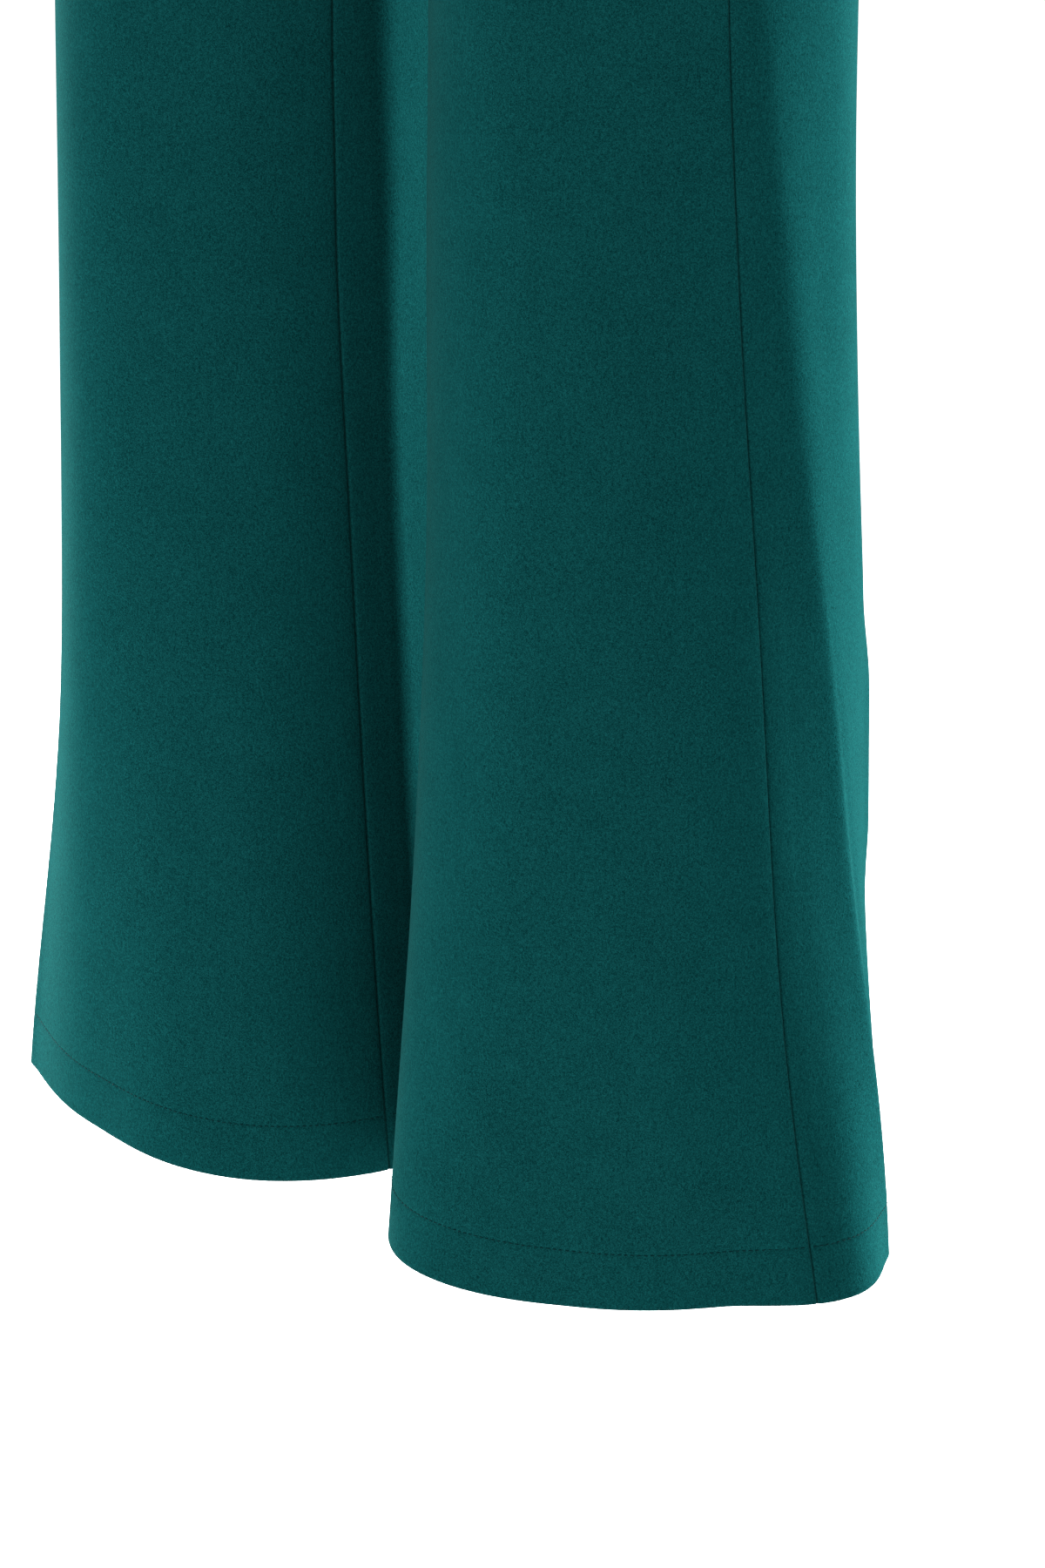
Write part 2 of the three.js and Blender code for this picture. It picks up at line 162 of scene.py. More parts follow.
# The body above the legs: at each height its reach to the side, the front and the back, and how
# full it is before and behind: 1 is an ellipse and less is fuller.
BODY = table(
    ("z", "side", "front", "back", "front_oval", "back_oval"),
    [
        (20, 129, 92, 88, 1, 1),
        (-20, 132, 95, 90, 1, 1),
        (-100, 158, 99, 103, 0.8, 0.65),
        (-190, 179, 98, 112, 0.45, 0.32),
        (-265, 190, 99, 112, 0.4, 0.3),
        (-400, 201, 100, 105, 0.4, 0.3),
    ],
)

# Each leg, drawn as the left one: at each height its middle and its reach in eight directions.
REACHES = ("front", "front_outer", "outer", "back_outer", "back", "back_inner", "inner", "front_inner")
LEG_COLUMNS = ("z", "x", "y") + REACHES
LEGS = {
    "left": table(
        LEG_COLUMNS,
        [
            (-165, 90, -3, 107, 105, 84, 110, 126, 104, 90, 100),
            (-265, 98, -4, 110, 107, 92, 112, 122, 108, 98, 104),
            (-400, 108, 3, 110, 107, 95, 86, 91, 94, 98, 104),
            (-560, 118, -1, 109, 102, 91, 81, 95, 103, 108, 109),
            (-720, 129, -6, 108, 98, 86, 84, 99, 115, 118, 114),
            (-880, 141, -11, 104, 87, 82, 80.5, 102, 129, 131, 127),
            (-1040, 156, -16, 92, 70, 88, 80, 118, 143, 143, 146),
        ],
    ),
    "right": table(
        LEG_COLUMNS,
        [
            (-165, 90, -3, 107, 105, 84, 110, 126, 104, 90, 100),
            (-265, 98, -4, 110, 107, 92, 112, 122, 108, 98, 104),
            (-400, 108, -3, 103, 105, 99, 98, 100, 93, 88, 96),
            (-560, 118, 1, 109, 103, 93, 93, 97, 95, 96, 106),
            (-720, 129, 5, 113, 98, 89, 88, 94, 99, 108, 120),
            (-880, 141, 11, 114, 96, 89, 83, 89, 103, 125, 135),
            (-1040, 156, 17, 115, 103, 93, 78, 84, 108, 147, 157),
        ],
    ),
}

# Where a leg's seams run, in degrees from its front, round by the outside and by the inside.
SEAMS = table(
    ("z", "side", "inside"),
    [
        (20, 86, 90),
        (-190, 80, 90),
        (-265, 72, 90),
        (-330, 61, 70),
        (-400, 54, 57),
        (-560, 56, 56),
        (-720, 61, 60),
        (-880, 67, 63),
        (-1040, 76, 66),
    ],
)

# The largest folds: top and foot in degrees round the leg from the front to the outside, how far
# they bend on the way, the heights between which they run, how far they stand out (or in, as a
# trough) at top and foot, how wide they are and how round their crest is at the foot, as a share
# of that width.
FOLDS = {
    "left": (
        (54, 122, 30, -330, -1040, 5, 5, 12, 0.3),
        (60, 128, 30, -420, -1040, 0, -1.5, 3.5, 0.5),
        (-74, -84, 0, -330, -1040, 5, 5, 12, 0.3),
        (196, 205, 0, -480, -1040, 0, 7, 20, 1.2),
    ),
    "right": (
        (-67, -74, 0, -330, -1040, 6, 4, 11, 0.12),
        (58, 60, 0, -700, -1040, 0, 8.2, 22, 1.3),
        (47, 43, 0, -760, -1040, 0, 2.0, 6, 0.4),
        (88, 92, 0, -560, -1040, 0, 6, 14, 0.9),
        (165, 150, 0, -480, -1040, 0, 7, 20, 1.2),
    ),
}

# Soft creases on top of them: where each starts and ends, as a height and a turn in degrees, how
# far it stands out (or in) and how wide it is. They are uneven, as hanging crepe is.
CREASES = {
    "left": (
        (-280, -40, -330, 10, -1.6, 16),
        (-300, -60, -380, -20, 1.2, 14),
        (-240, -30, -300, 30, 1.0, 18),
        (-420, 20, -1040, 28, 0.9, 26),
        (-520, -20, -1040, -34, -0.8, 24),
        (-640, 60, -1040, 74, -0.7, 16),
        (-560, 130, -1040, 150, -1.4, 22),
        (-430, 165, -980, 176, 1.4, 24),
        (-600, 228, -1040, 238, -1.6, 24),
        (-350, 215, -760, 222, 1.2, 22),
        (-730, 132, -880, 136, 2.4, 13),
        (-285, 200, -330, 150, -1.5, 16),
        (-300, 228, -350, 190, 1.3, 15),
    ),
    "right": (
        (-275, -38, -335, 14, -1.5, 16),
        (-298, -58, -372, -16, 1.3, 14),
        (-246, -26, -310, 34, 0.9, 18),
        (-430, 12, -1040, 8, 0.9, 26),
        (-560, -30, -1040, -38, -0.9, 24),
        (-700, 70, -1040, 70, -1.6, 11),
        (-560, 120, -1040, 118, -1.4, 20),
        (-440, 180, -990, 172, 1.3, 24),
        (-620, 205, -1040, 196, -1.5, 24),
        (-360, 222, -800, 214, 1.2, 22),
        (-283, 202, -326, 152, -1.6, 16),
        (-304, 226, -356, 188, 1.2, 15),
    ),
}

# ---- Form of the cloth ----


def mix(a, b, t):
    return a + (b - a) * t


def smooth(t):
    t = np.clip(t, 0.0, 1.0)
    return t * t * (3.0 - 2.0 * t)


def look_up(rows, name, z):
    """A column of a table at the heights z, on a smooth curve through its rows."""
    heights, values = rows["z"], rows[name]
    last = len(heights) - 1
    above = np.maximum(np.arange(last + 1) - 1, 0)
    below = np.minimum(np.arange(last + 1) + 1, last)
    slopes = (values[below] - values[above]) / (heights[below] - heights[above])
    i = np.clip(np.searchsorted(-heights, -z, side="right") - 1, 0, last - 1)
    span = heights[i + 1] - heights[i]
    t = np.clip((z - heights[i]) / span, 0.0, 1.0)
    rise = values[i + 1] - values[i]
    s0, s1 = slopes[i] * span, slopes[i + 1] * span
    return values[i] + t * (s0 + t * (3 * rise - 2 * s0 - s1 + t * (s0 + s1 - 2 * rise)))


def degrees_at(share):
    """The direction of a share of the way round, in degrees from the front to the outside."""
    return share * 360.0 - 90.0


def share_at(degrees):
    return (90.0 + degrees) / 360.0


def turned(degrees, middle):
    """How far round degrees lies from middle, from -180 to 180."""
    return (degrees - middle + 180.0) % 360.0 - 180.0


def fold_rise(leg, z, degrees, reach):
    rise = np.zeros_like(z)
    for fold in FOLDS[leg]:
        from_z, to_z, top_rise, foot_rise, spread, crest = fold[3:]
        down = np.clip((from_z - z) / (from_z - to_z), 0.0, 1.0)
        away = np.radians(turned(degrees, fold_path(fold, z))) * reach / spread
        fade_in = smooth((from_z + FOLD_FADE / 2 - z) / FOLD_FADE)
        round_crest = mix(SOFT_CREST, crest, smooth((down - SHARPENS_FROM) / SHARPENS_OVER))
        profile = np.exp(round_crest - np.hypot(away, round_crest))
        rise += mix(top_rise, foot_rise, smooth(down)) * fade_in * profile
    return rise


def fold_path(fold, z):
    """Where a fold's crest lies at the heights z, in degrees round the leg."""
    top, foot, bend, from_z, to_z = fold[:5]
    down = np.clip((from_z - z) / (from_z - to_z), 0.0, 1.0)
    return mix(top, foot, down) - bend * down * (1.0 - down)


def leg_reach(leg, z, degrees):
    """The reach of a leg's tube, on a smooth curve through its eight directions."""
    step = (degrees + 360.0) / 45.0
    i = np.floor(step).astype(int)
    t = step - i
    ring = np.stack([look_up(LEGS[leg], name, z) for name in REACHES])
    p0, p1, p2, p3 = (np.take_along_axis(ring, ((i + k) % 8)[None], 0)[0] for k in (7, 0, 1, 2))
    a = p2 - p0
    b = 2 * p0 - 5 * p1 + 4 * p2 - p3
    c = 3 * p1 - p0 - 3 * p2 + p3
    return p1 + 0.5 * t * (a + t * (b + t * c))


def leg_point(leg, z, share):
    degrees = degrees_at(share)
    reach = leg_reach(leg, z, degrees)
    out = reach + fold_rise(leg, z, degrees, reach)
    angle = np.radians(degrees)
    x = look_up(LEGS[leg], "x", z) + out * np.sin(angle)
    y = look_up(LEGS[leg], "y", z) - out * np.cos(angle)
    return x, y


def body_point(z, share):
    angle = np.pi * share
    front = share < 0.5
    oval = np.where(front, look_up(BODY, "front_oval", z), look_up(BODY, "back_oval", z))
    depth = np.where(front, -look_up(BODY, "front", z), look_up(BODY, "back", z))
    return look_up(BODY, "side", z) * np.sin(angle), depth * np.abs(np.cos(angle)) ** oval


def parting(z, away):
    """How far the legs have parted at height z, at a share of the way round from a centre seam."""
    under = (np.maximum(FORK_Z - z, 0.0) / (FORK_Z - CROTCH_Z)) ** 2 - 1.0
    joined = np.sqrt((np.hypot(under, away / FORK_SOFTEN) - under) / 2)
    fade = smooth((CROTCH_Z - z) / (CROTCH_Z - LEG_FORM_Z))
    return np.clip(1.0 - joined * (1.0 - fade), 0.0, 1.0)


def cloth_point(leg, z, share):
    """A point of the cloth's outside, on the wearer's left: share 0 is the middle of the leg's
    inside, or the centre front, and it goes round by the front."""
    z, share = np.broadcast_arrays(np.asarray(z, float), np.asarray(share, float))
    share = np.where(z < CROTCH_Z, share % 1.0, share)
    leg_x, leg_y = leg_point(leg, z, share)
    body_x, body_y = body_point(np.maximum(z, LEG_FORM_Z), share)
    away = np.minimum(share, 1.0 - share)
    formed = smooth((LEG_START_Z - z) / (LEG_START_Z - LEG_FORM_Z))
    t = mix(formed, parting(z, away), np.exp(-((away / FORK_REACH) ** 2)))
    least_x = np.where(z < BAND_BOTTOM, EDGE, -np.inf)
    return np.stack([np.maximum(mix(body_x, leg_x, t), least_x), mix(body_y, leg_y, t), z], -1)


def outward(leg, z, share):
    """The way out of the cloth, from its neighbours across and up or down."""
    across = 0.002
    z, share = np.broadcast_arrays(np.asarray(z, float), np.asarray(share, float))
    split = (z < BAND_BOTTOM) & (z >= CROTCH_Z)
    before = cloth_point(leg, z, np.where(split, np.maximum(share - across, 0.0), share - across))
    after = cloth_point(leg, z, np.where(split, np.minimum(share + across, 1.0), share + across))
    up = np.where(z > CROTCH_Z, 1.0, 0.0)
    down = np.where(z > CROTCH_Z, np.minimum(1.0, (z - CROTCH_Z) / 2), 1.0)
    above = cloth_point(leg, z + up, share)
    below = cloth_point(leg, z - down, share)
    way = np.cross(after - before, above - below)
    return way / np.linalg.norm(way, axis=-1, keepdims=True)


def crease_rise(leg, z, degrees):
    """How far the soft creases stand out at each point."""
    rise = np.zeros_like(z)
    for start_z, start, end_z, end, height, width in CREASES[leg]:
        along_z = end_z - start_z
        along_x = math.radians(end - start) * CREASE_REACH
        length = math.hypot(along_x, along_z)
        x = np.radians(turned(degrees, (start + end) / 2)) * CREASE_REACH + along_x / 2
        t = ((z - start_z) * along_z + x * along_x) / length**2
        aside = ((z - start_z) * along_x - x * along_z) / length
        fade_out = 1.0 if end_z <= HEM_Z else smooth((1.0 - t) / CREASE_FADE)
        rise += height * smooth(t / CREASE_FADE) * fade_out * np.exp(-((aside / width) ** 2))
    return rise


def unevenness(leg, z, degrees):
    """Slow, small waves, so that no stretch of the cloth is a perfect tube."""
    side = 0.0 if leg == "left" else 2.1
    turn = np.radians(degrees)
    waves = (
        0.30 * np.sin(3 * turn + z / 95.0 + side)
        + 0.24 * np.sin(5 * turn - z / 61.0 + 1.3 + side)
        + 0.16 * np.sin(8 * turn + z / 43.0 + 2.6 * side)
        + 0.10 * np.sin(2 * turn + z / 27.0 + 0.7)
    )
    return waves * smooth((BAND_BOTTOM - z) / WAVE_FADE)


# ---- Closed shells of cloth ----


def new_object(name, points, faces, smooth_faces=True):
    mesh = bpy.data.meshes.new(name)
    mesh.from_pydata(points.tolist(), [], faces.tolist())
    mesh.polygons.foreach_set("use_smooth", np.full(len(mesh.polygons), smooth_faces))
    mesh.update()
    obj = bpy.data.objects.new(name, mesh)
    bpy.context.scene.collection.objects.link(obj)
    return obj


def shell_faces(rows, columns):
    """The faces that close two grids of points, outside and inside, into one skin."""
    grid = np.arange(rows * columns).reshape(rows, columns)
    a, b, c, d = grid[:-1, :-1], grid[1:, :-1], grid[1:, 1:], grid[:-1, 1:]
    outside = np.stack([a, b, c, d], -1).reshape(-1, 4)
    inside = outside[:, ::-1] + rows * columns
    around_rim = np.concatenate([grid[0, :-1], grid[:-1, -1], grid[-1, :0:-1], grid[:0:-1, 0]])
    ahead = np.roll(around_rim, -1)
    rim = np.stack([around_rim, ahead, ahead + rows * columns, around_rim + rows * columns], -1)
    return np.concatenate([outside, inside, rim])


class Skin:
    """Shells gathered into one mesh. The right side is a mirror of the left."""

    def __init__(self, leg):
        self.flip = leg == "right"
        self.points, self.faces, self.count = [], [], 0

    def add(self, outer, inner):
        rows, columns = outer.shape[:2]
        points = np.concatenate([outer.reshape(-1, 3), inner.reshape(-1, 3)])
        self.add_mesh(points, shell_faces(rows, columns))

    def add_mesh(self, points, faces):
        self.points.append(points * ((-1, 1, 1) if self.flip else (1, 1, 1)))
        self.faces.append((faces[:, ::-1] if self.flip else faces) + self.count)
        self.count += len(points)

    def make(self, name):
        return new_object(name, np.concatenate(self.points) * MM, np.concatenate(self.faces))


def placed(leg, z, share, depth):
    return cloth_point(leg, z, share) - outward(leg, z, share) * depth[..., None]


# ---- Where the seams lie ----


def side_share(z):
    return share_at(look_up(SEAMS, "side", z))


def inside_share(z):
    return np.where(z > CROTCH_Z, 0.0, share_at(-look_up(SEAMS, "inside", z)))


PANEL_SIDES = {
    "front": (inside_share, side_share),
    "back": (side_share, lambda z: 1.0 + inside_share(z)),
}


def width_of_share(leg, z, share, way):
    """Millimetres of cloth to one share of the way round, just inside a panel's edge."""
    step = 0.004 * way
    a = cloth_point(leg, z, share + step)
    b = cloth_point(leg, z, share + 2 * step)
    return np.linalg.norm(b - a, axis=-1) / abs(step)


def crest_columns(leg, z, first, last):
    """Blocks of close columns that follow the sharp crests between two edges of a panel."""
    blocks = []
    steps = np.array(CREST_STEPS)
    low, high = first[:, -1], last[:, 0]
    for fold in FOLDS[leg]:
        middle = share_at(fold_path(fold, z)) % 1.0
        if fold[-1] > SHARP_CREST or not low[-1] < middle[-1] < high[-1]:
            continue
        unit = 1.0 / width_of_share(leg, z, middle, 1)
        room = (CREST_STEPS[-1] + CREST_ROOM) * unit
        middle = np.clip(middle, low + room, high - room)
        blocks.append(middle[:, None] + steps[None] * unit[:, None])
    return sorted(blocks, key=lambda block: block[-1, 0])


def panel_columns(leg, face, z):
    """For each row at the heights z: the share of each column, and how far it lies from an edge."""
    start_of, end_of = PANEL_SIDES[face]
    start, end = start_of(z), end_of(z)
    first_width = width_of_share(leg, z, start, 1)
    last_width = width_of_share(leg, z, end, -1)
    steps = np.array(EDGE_STEPS)
    first = start[:, None] + (EDGE + steps)[None] / first_width[:, None]
    last = end[:, None] - (EDGE + steps[::-1])[None] / last_width[:, None]
    blocks = [first] + crest_columns(leg, z, first, last) + [last]
    whole = np.mean(last[:, 0] - first[:, -1])
    columns = [first]
    for before, after in zip(blocks, blocks[1:]):
        span = np.max(after[:, 0] - before[:, -1]) / whole
        t = np.linspace(0.0, 1.0, max(3, round(MIDDLE_COLUMNS[face] * span)) + 1)[None, 1:-1]
        columns += [mix(before[:, -1:], after[:, :1], t), after]
    share = np.concatenate(columns, 1)
    to_start = (share - start[:, None]) * first_width[:, None] - EDGE
    to_end = (end[:, None] - share) * last_width[:, None] - EDGE
    return share, np.maximum(np.minimum(to_start, to_end), 0.0)


def rolled(away, width, depth):
    """How deep the cloth lies at a distance from an edge that is rolled under."""
    t = 1.0 - np.clip(away / width, 0.0, 1.0)
    return depth * (1.0 - np.sqrt(1.0 - t**2))


def sunk(away):
    """How deep a panel lies at a distance from its seam, where it rolls under."""
    return sum(
        depth * (1.0 - np.clip(away / width, 0.0, 1.0)) ** 2
        for width, depth in (SEAM_DIP, SEAM_FOLD)
    )


def close_centre(points, z, column):
    """Keeps a panel's centre edge in the plane between the legs, however deep it lies."""
    points[(z < BAND_BOTTOM) & (z > CROTCH_Z), column, 0] = EDGE


def backed(away):
    """1 over a pressed-open seam allowance, 0 past its raw edge."""
    return smooth((ALLOWANCE + ALLOWANCE_FADE / 2 - away) / ALLOWANCE_FADE)


def relief(leg, z, share, away):
    """How far a panel stands out from the plain form."""
    degrees = degrees_at(share)
    calm = mix(CALM_SHARE, 1.0, smooth(away / CALM_WIDTH))
    pressed = PRESSED * backed(away) * smooth(away / PRESSED_FROM)
    top = smooth((BAND_BOTTOM - z) / CALM_WIDTH)
    return (crease_rise(leg, z, degrees) + unevenness(leg, z, degrees)) * calm * top + pressed


def stitch_groove(z):
    return STITCH_GROOVE * np.exp(-(((z - HEM_Z - HEM_STITCH) / GROOVE_WIDTH) ** 2))


def panel_rows():
    """Heights of a panel's rows down to the foot of its straight stretch."""
    waist = [BAND_BOTTOM + WAIST_TUCK] + [BAND_BOTTOM - EDGE - step for step in EDGE_STEPS]
    body = np.arange(waist[-1] - ROW_STEP, FORK_Z, -ROW_STEP)
    fork = FORK_Z - (FORK_Z - CROTCH_Z) * np.sin(np.linspace(0, np.pi / 2, FORK_ROWS))
    thigh = [CROTCH_Z - step for step in THIGH_STEPS]
    stitch = HEM_Z + HEM_STITCH
    leg = np.arange(thigh[-1] - ROW_STEP, stitch + STITCH_REACH, -ROW_STEP)
    return np.concatenate([waist, body, fork, thigh, leg, stitch + STITCH_ROWS, HEM_ROWS])


def panel_path():
    """Down a panel, round its hem fold and up the turned-up hem: the heights and depths of the
    cloth's right side and wrong side, and 1 for rows that are turned up."""
    down = panel_rows()
    centre = HEM_Z + HEM_RADIUS
    small = HEM_RADIUS - CLOTH
    up = np.concatenate([HEM_ROWS[::-1], HEM_Z + HEM_STITCH + STITCH_ROWS[:2:-1]])
    up = np.append(up, (HEM_Z + HEM_STITCH + STITCH_ROWS[1], HEM_Z + HEM_DEPTH))
    right = np.concatenate([down, centre - HEM_RADIUS * np.sin(FOLD_TURNS), up])
    wrong = np.concatenate([down, centre - small * np.sin(FOLD_TURNS), up])
    fold_right = HEM_RADIUS * (1 - np.cos(FOLD_TURNS))
    fold_wrong = HEM_RADIUS - small * np.cos(FOLD_TURNS)
    flat = np.zeros(len(down))
    right_depth = np.concatenate([flat, fold_right, np.full(len(up), 2 * HEM_RADIUS)])
    wrong_depth = np.concatenate([flat + CLOTH, fold_wrong, np.full(len(up), 2 * HEM_RADIUS - CLOTH)])
    turned_up = np.concatenate([flat, (FOLD_TURNS > np.pi / 2) * 1.0, np.ones(len(up))])
    return right, right_depth, wrong, wrong_depth, turned_up


def panel(leg, face):
    """A front or back panel with its hem turned up and its seam allowances pressed open."""
    skin = Skin(leg)
    right, right_depth, wrong, wrong_depth, turned_up = panel_path()
    share, away = panel_columns(leg, face, right)
    up = turned_up[:, None]
    closer = up * (2 * HEM_RADIUS - CLOTH - HEM_LIES_OVER) * (1 - backed(away))
    closer = closer * smooth((right[:, None] - HEM_Z - HEM_RADIUS) / HEM_SETTLES)
    groove = stitch_groove(right)[:, None] * np.where(up > 0, GROOVE_INSIDE, 1.0)
    top_away = BAND_BOTTOM - EDGE - right[:, None]
    seam = np.maximum(sunk(away), sunk(top_away))
    lift = relief(leg, right[:, None] + 0 * share, share, away + 0 * share)
    outer_depth = right_depth[:, None] + np.where(up > 0, 0.0, seam) + groove - closer - lift
    under = np.where(up > 0, 0.0, np.clip(seam + TURNED_CLOTH - CLOTH, 0.0, TURNED_FOOT - CLOTH))
    inner_depth = wrong_depth[:, None] + under + groove - closer - lift
    outer = placed(leg, right[:, None] + 0 * share, share, outer_depth)
    inner = placed(leg, wrong[:, None] + 0 * share, share, inner_depth)
    centre = 0 if face == "front" else -1
    close_centre(outer, right, centre)
    close_centre(inner, wrong, centre)
    skin.add(outer, inner)
    for at_start in (True, False):
        add_allowance(skin, leg, face, at_start)
    return skin.make(f"cloth_{face}_{leg}")


def add_allowance(skin, leg, face, at_start):
    """The strip of a panel that lies pressed back inside it along one of its edges."""
    z = panel_rows()
    z = z[z < BAND_BOTTOM - ALLOWANCE_START]
    edge_of = PANEL_SIDES[face][0 if at_start else 1]
    way = 1 if at_start else -1
    away = np.array(ALLOWANCE_STEPS)[None]
    edge = edge_of(z)
    share = edge[:, None] + way * (EDGE + away) / width_of_share(leg, z, edge, way)[:, None]
    rows = z[:, None] + 0 * share
    away = away + 0 * share
    lift = relief(leg, rows, share, away)
    top = np.maximum(ALLOWANCE_TOP, sunk(away) + ALLOWANCE_UNDER)
    outer = placed(leg, rows, share, top - lift)
    inner = placed(leg, rows, share, top + CLOTH - lift)
    if at_start == (face == "front"):
        close_centre(outer, z, 0)
        close_centre(inner, z, 0)
    if not at_start:
        outer, inner = outer[:, ::-1], inner[:, ::-1]
    skin.add(outer, inner)


# ---- Waistband ----

BAND_STEPS = np.array((0.0, 0.08, 0.3, 0.6, 1.05, 1.8, 3.2))
BAND_MIDDLE_ROWS = np.linspace(15.0, -15.0, 11)
BAND_COLUMNS = {"front": 110, "back": 56}
BAND_CALM = 2.0  # distance from an edge where the waistband's waves start
FAR = 1e3  # further from a seam than any wave or rounding reaches
ZIP_PARTED_HALF = 1.7  # half the zip's opening at the top
ZIP_PARTED_FROM = 1.0  # the heights between which it opens
ZIP_PARTED_TO = 7.0


def parted(z):
    """Half the opening of the zip: closed but for the top, where the slider parts it."""
    t = (z - ZIP_PARTED_FROM) / (ZIP_PARTED_TO - ZIP_PARTED_FROM)
    return mix(EDGE, ZIP_PARTED_HALF, smooth(t))


def side_span(z):
    return np.pi * look_up(BODY, "side", z)


def band_wave(share, z, top, foot, sides):
    """The waistband's slight waves, which fade toward its edges."""
    wave = 0.12 * np.sin(share * 41.0 + z / 9.0) + 0.1 * np.sin(share * 67.0 - z / 6.0)
    for away, width in ((top, 6.0), (foot, 6.0), (sides, 8.0)):
        wave = wave * smooth((away - BAND_CALM) / width)
    return wave


def waistband(name, leg, start_of, end_of, columns):
    """A double waistband piece, rounded along its folded top and rolled in at its seams."""
    skin = Skin(leg)
    z = np.concatenate([BAND_TOP - BAND_STEPS, BAND_MIDDLE_ROWS, BAND_BOTTOM + EDGE + BAND_STEPS[::-1]])
    start, end = start_of(z)[:, None], end_of(z)[:, None]
    unit = (BAND_STEPS / side_span(0.0))[None]
    t = np.linspace(0.0, 1.0, columns + 1)[None, 1:-1]
    first, last = start + unit, end - unit[:, ::-1]
    share = np.concatenate([first, mix(first[:, -1:], last[:, :1], t), last], 1)
    far = np.full(columns - 1, FAR)
    to_start = np.concatenate([BAND_STEPS, far, far[: len(BAND_STEPS)]])
    sides = np.minimum(to_start, to_start[::-1])[None]
    top = (BAND_TOP - z)[:, None]
    foot = (z - BAND_BOTTOM - EDGE)[:, None]
    away = np.minimum(np.minimum(sides, top), foot)
    drop = rolled(away, BAND_ROUND, BAND_ROUND)
    z = z[:, None] + 0 * share
    lift = band_wave(share, z, top, foot, sides)
    skin.add(placed(leg, z, share, drop - lift), placed(leg, z, share, BAND_CLOTH - drop - lift))
    return skin.make(name)


def make_waistbands():
    def front_end(z):
        return side_share(z) - EDGE / side_span(z)

    def back_start(z):
        return side_share(z) + EDGE / side_span(z)

    def back_end(z):
        return 1.0 - parted(z) / side_span(z)

    front = waistband("band_front", "left", lambda z: -front_end(z), front_end, BAND_COLUMNS["front"])
    left = waistband("band_back_left", "left", back_start, back_end, BAND_COLUMNS["back"])
    right = waistband("band_back_right", "right", back_start, back_end, BAND_COLUMNS["back"])
    return front, left, right


# ---- Hem stitching ----

BEAD_FULLNESS = 0.6  # below 1 a bead's ends are blunter than an ellipse's
STITCH_BEAD = (6, 5)  # sides and rings
WALK_POINTS = 1441
JUST_PAST = 1e-9  # keeps the walk clear of the share where the way round starts again
AHEAD = 0.001  # half the share over which a stitch's direction is taken


def bead(sides, rings):
    """The points and triangles of a small closed bead, 1 long and 1 across, along its own x."""
    along = np.pi * np.arange(1, rings)[:, None] / rings
    turn = 2 * np.pi * np.arange(sides)[None] / sides
    radius = np.sin(along) ** BEAD_FULLNESS / 2
    body = np.stack([-np.cos(along) / 2 + 0 * turn, radius * np.cos(turn), radius * np.sin(turn)], -1)
    points = np.concatenate([body.reshape(-1, 3), [(-0.5, 0.0, 0.0), (0.5, 0.0, 0.0)]])
    a = np.arange((rings - 1) * sides).reshape(-1, sides)
    b = np.roll(a, -1, 1)
    start, end = len(points) - 2, len(points) - 1
    corners = [
        (a[:-1], b[:-1], b[1:]),
        (a[:-1], b[1:], a[1:]),
        (start, b[:1], a[:1]),
        (end, a[-1:], b[-1:]),
    ]
    faces = [np.stack(np.broadcast_arrays(*three), -1).reshape(-1, 3) for three in corners]
    return points, np.concatenate(faces)


def add_beads(skin, shape, centre, ahead, out, length, width):
    """A bead at each centre, that points ahead and is as wide across as it is out of the cloth."""
    points, faces = shape
    ways = np.stack([ahead * length, np.cross(out, ahead) * width, out * width], 1)
    skin.add_mesh(
        (centre[:, None] + points @ ways).reshape(-1, 3),
        (faces + len(points) * np.arange(len(centre))[:, None, None]).reshape(-1, 3),
    )


def ring_walk(leg, z, pitch):
    """Shares that lie pitch apart round a leg at height z, and its girth there."""
    share = np.linspace(0.0, 1.0, WALK_POINTS)
    points = cloth_point(leg, np.full(len(share), z), share + JUST_PAST)
    length = np.concatenate([[0.0], np.cumsum(np.linalg.norm(np.diff(points, axis=0), axis=1))])
    count = round(length[-1] / pitch)
    return np.interp((np.arange(count) + 0.5) * length[-1] / count, length, share), length[-1]


def seam_distance(leg, z, share, girth):
    """How far a place on a leg lies from its nearer seam, in millimetres of cloth."""
    seams = (float(side_share(np.array([z]))[0]), float(inside_share(np.array([z]))[0]))
    gaps = [np.abs((share - seam + 0.5) % 1.0 - 0.5) * girth for seam in seams]
    return np.minimum(*gaps)


def hem_stitches(leg):
    """One row of lockstitch round a leg, that holds the turned-up hem."""
    height = HEM_Z + HEM_STITCH
    share, girth = ring_walk(leg, height, STITCH_PITCH)
    away = seam_distance(leg, height, share, girth)
    free = away > STITCH_FREE
    share, away = share[free], away[free]
    z = np.full(len(share), height)
    depth = STITCH_GROOVE - STITCH_SUNK * STITCH_WIDTH - relief(leg, z, share, away)
    centre = placed(leg, z, share, depth)
    ahead = cloth_point(leg, z, share + AHEAD) - cloth_point(leg, z, share - AHEAD)
    ahead /= np.linalg.norm(ahead, axis=1, keepdims=True)
    skin = Skin(leg)
    add_beads(skin, bead(*STITCH_BEAD), centre, ahead, outward(leg, z, share), STITCH_LENGTH, STITCH_WIDTH)
    return skin.make(f"hem_stitches_{leg}")


# ---- Zip coil ----

